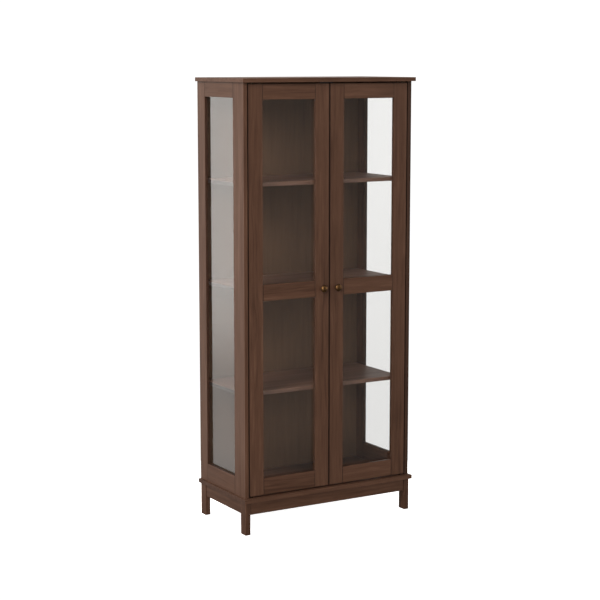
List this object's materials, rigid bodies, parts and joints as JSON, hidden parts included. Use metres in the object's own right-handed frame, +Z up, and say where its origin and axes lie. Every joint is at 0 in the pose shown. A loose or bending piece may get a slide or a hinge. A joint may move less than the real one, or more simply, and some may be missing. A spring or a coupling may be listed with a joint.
{
  "type": "china cabinet",
  "caption": "Tall free-standing display cabinet in stained wood, with glazed inset doors, glazed sides, shelves and a legged base.",
  "frame": {"origin": "on the floor, under the middle of the whole object's box, the knobs included", "axes": "+Z up, +X to the right of a person who faces the doors, -Y towards that person"},
  "size_m": [0.8, 0.413, 1.81],
  "materials": {
    "stained_wood": "dark brown stain under a satin lacquer, fine grain",
    "glass": "clear float glass",
    "bronze": "antique bronze, polished",
    "steel": "zinc plated",
    "catch_plastic": "brown moulded plastic"
  },
  "bodies": {
    "case": {"back_panel": "stained_wood", "front_apron": "stained_wood", "front_left_leg": "stained_wood", "front_right_leg": "stained_wood", "left_apron": "stained_wood", "left_bottom_hinge_pin": "bronze", "left_side_bottom_rail": "stained_wood", "left_side_front_stile": "stained_wood", "left_side_glass": "glass", "left_side_rear_stile": "stained_wood", "left_side_top_rail": "stained_wood", "left_top_hinge_pin": "bronze", "lower_shelf": "stained_wood", "lower_shelf_front_left_pin": "steel", "lower_shelf_front_right_pin": "steel", "lower_shelf_rear_left_pin": "steel", "lower_shelf_rear_right_pin": "steel", "magnetic_catch": "catch_plastic", "middle_shelf": "stained_wood", "plinth_panel": "stained_wood", "rear_apron": "stained_wood", "rear_left_leg": "stained_wood", "rear_right_leg": "stained_wood", "right_apron": "stained_wood", "right_bottom_hinge_pin": "bronze", "right_side_bottom_rail": "stained_wood", "right_side_front_stile": "stained_wood", "right_side_glass": "glass", "right_side_rear_stile": "stained_wood", "right_side_top_rail": "stained_wood", "right_top_hinge_pin": "bronze", "top_panel": "stained_wood", "upper_shelf": "stained_wood", "upper_shelf_front_left_pin": "steel", "upper_shelf_front_right_pin": "steel", "upper_shelf_rear_left_pin": "steel", "upper_shelf_rear_right_pin": "steel"},
    "left_door": {"left_door_bottom_bush": "bronze", "left_door_bottom_rail": "stained_wood", "left_door_inner_stile": "stained_wood", "left_door_lower_glass": "glass", "left_door_middle_rail": "stained_wood", "left_door_outer_stile": "stained_wood", "left_door_top_bush": "bronze", "left_door_top_rail": "stained_wood", "left_door_upper_glass": "glass", "left_knob": "bronze", "left_strike_plate": "steel"},
    "right_door": {"right_door_bottom_bush": "bronze", "right_door_bottom_rail": "stained_wood", "right_door_inner_stile": "stained_wood", "right_door_lower_glass": "glass", "right_door_middle_rail": "stained_wood", "right_door_outer_stile": "stained_wood", "right_door_top_bush": "bronze", "right_door_top_rail": "stained_wood", "right_door_upper_glass": "glass", "right_knob": "bronze", "right_strike_plate": "steel"}
  },
  "joints": [
    {"name": "left_door_hinge", "type": "hinge", "parent": "case", "child": "left_door", "pos_m": [-0.3535, -0.1735, 0.1553], "axis": [0, 0, -1], "range_deg": [0, 110]},
    {"name": "right_door_hinge", "type": "hinge", "parent": "case", "child": "right_door", "pos_m": [0.3535, -0.1735, 0.1553], "axis": [0, 0, 1], "range_deg": [0, 110]}
  ]
}
